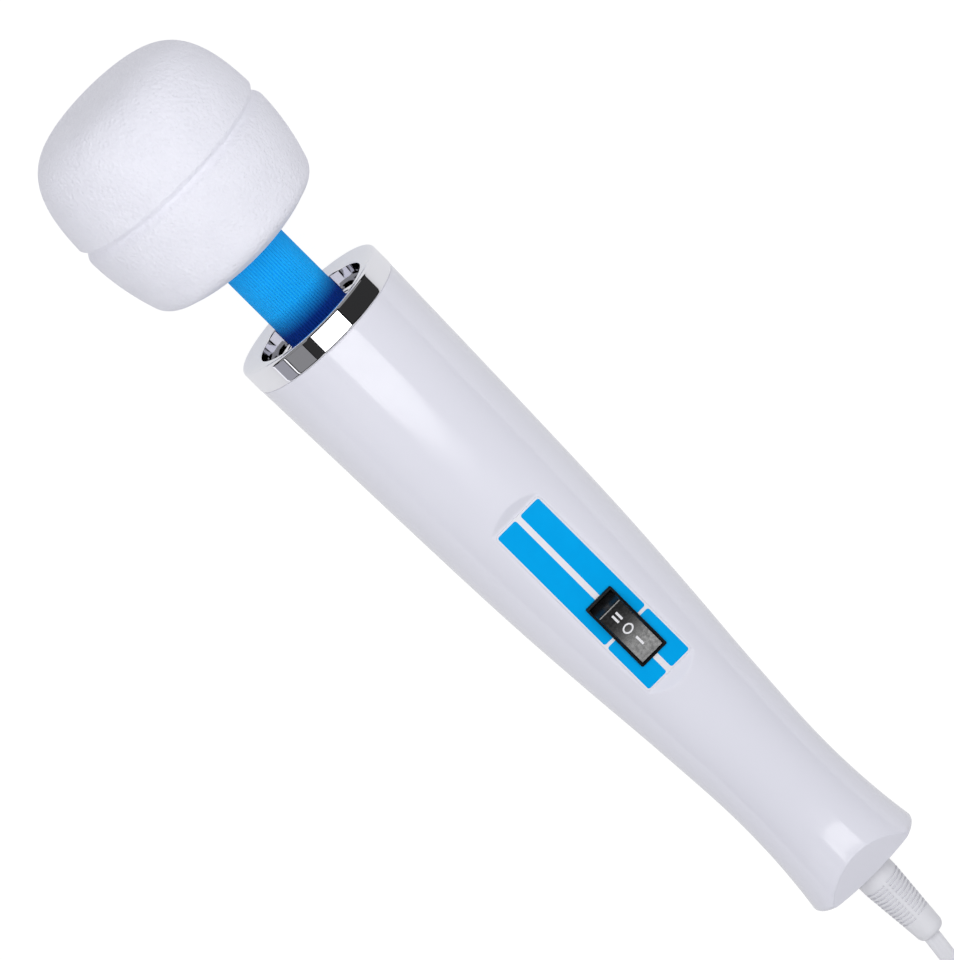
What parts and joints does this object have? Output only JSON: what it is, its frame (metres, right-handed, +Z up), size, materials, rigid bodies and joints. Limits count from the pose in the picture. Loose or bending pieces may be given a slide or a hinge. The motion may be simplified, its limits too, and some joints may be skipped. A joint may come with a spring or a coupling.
{
  "type": "handheld wand massager",
  "caption": "Corded handheld wand massager: a soft round head on a flexible ribbed neck, a chrome collar, and a tapering handle with a rocker switch.",
  "frame": {"origin": "centre of the wand's box, cord left out, on the surface it lies on", "axes": "+X along the wand towards its head, +Z up out of the switch, +Y across"},
  "size_m": [0.427, 0.103, 0.0641],
  "materials": {
    "handle_white": "gloss",
    "cushion_white": "matte, fine grain",
    "sleeve_blue": "satin, fine lengthwise ribs",
    "chrome": "polished",
    "label_blue": "printed, satin",
    "switch_black": "satin",
    "steel": "machined",
    "brass": "plain",
    "copper": "enamelled",
    "lamination": "stacked sheet",
    "magnet": "ceramic",
    "carbon": "pressed carbon",
    "rubber_black": "matte",
    "board_green": "lacquered",
    "part_black": "moulded",
    "wire_red": "insulation",
    "core_white": "moulded",
    "cord_white": "satin",
    "tie_black": "moulded"
  },
  "bodies": {
    "root": {"front_shell": "handle_white", "rear_shell": "handle_white", "shell_screws": "steel", "collar_ring": "chrome", "label_plate": "label_blue", "switch_housing": "switch_black", "switch_terminals": "brass", "neck_mount": "steel", "motor_can": "steel", "motor_front_cap": "steel", "motor_rear_cap": "switch_black", "motor_magnets": "magnet", "motor_brushes": "carbon", "motor_bearing_front": "steel", "motor_bearing_rear": "steel", "motor_ring_front": "rubber_black", "motor_ring_rear": "rubber_black", "circuit_board": "board_green", "board_parts": "part_black", "lead_wires": "wire_red", "cord_clamp": "core_white", "clamp_screws": "steel", "strain_relief": "cord_white", "cord": "cord_white", "cord_coil": "cord_white", "cord_tie": "tie_black", "plug": "cord_white", "plug_blades": "brass"},
    "rocker": {"rocker": "switch_black", "rocker_plunger": "steel"},
    "contact_arm": {"contact_arm": "brass"},
    "rotor": {"motor_shaft": "steel", "rotor_core": "lamination", "rotor_windings": "copper", "commutator": "copper", "drive_hub": "brass"},
    "neck": {"neck_sleeve": "sleeve_blue", "neck_spring": "steel"},
    "drive": {"drive_spring": "steel"},
    "head": {"head_cushion": "cushion_white", "head_core_front": "core_white", "head_core_rear": "core_white", "core_screws": "steel", "head_bearing_front": "steel", "head_bearing_rear": "steel"},
    "eccentric": {"eccentric_shaft": "steel", "eccentric_weight": "brass", "driven_hub": "brass"}
  },
  "joints": [
    {"name": "rocker_tilt", "type": "hinge", "parent": "root", "child": "rocker", "pos_m": [-0.03816, 0, 0.03763], "axis": [0, 1, 0], "range_deg": [0, 20]},
    {"name": "contact_tilt", "type": "hinge", "parent": "root", "child": "contact_arm", "pos_m": [-0.0376, 0, 0.03266], "axis": [0, 1, 0], "range_deg": [-10, 0]},
    {"name": "neck_pitch", "type": "hinge", "parent": "root", "child": "neck", "pos_m": [0.0793, 0, 0.02931], "axis": [0, 1, 0], "range_deg": [-15, 15], "stiffness_Nm_per_rad": 7, "deforming": ["neck_sleeve", "neck_spring"]},
    {"name": "neck_yaw", "type": "hinge", "parent": "neck", "child": "head", "pos_m": [0.09727, 0, 0.03023], "axis": [-0.0511, 0, 0.9987], "range_deg": [-15, 15], "stiffness_Nm_per_rad": 7},
    {"name": "rotor_spin", "type": "hinge", "parent": "root", "child": "rotor", "pos_m": [0.03136, 0, 0.02686], "axis": [0.9987, 0, 0.0511], "continuous": true},
    {"name": "drive_spin", "type": "hinge", "parent": "neck", "child": "drive", "pos_m": [0.08829, 0, 0.02977], "axis": [0.9987, 0, 0.0511], "continuous": true, "deforming": ["drive_spring"]},
    {"name": "eccentric_spin", "type": "hinge", "parent": "head", "child": "eccentric", "pos_m": [0.13323, 0, 0.03207], "axis": [0.9987, 0, 0.0511], "continuous": true}
  ],
  "couplings": [
    {"joint": "contact_tilt", "follows": "rocker_tilt", "ratio": -0.5},
    {"joint": "drive_spin", "follows": "rotor_spin", "ratio": 1},
    {"joint": "eccentric_spin", "follows": "rotor_spin", "ratio": 1}
  ]
}
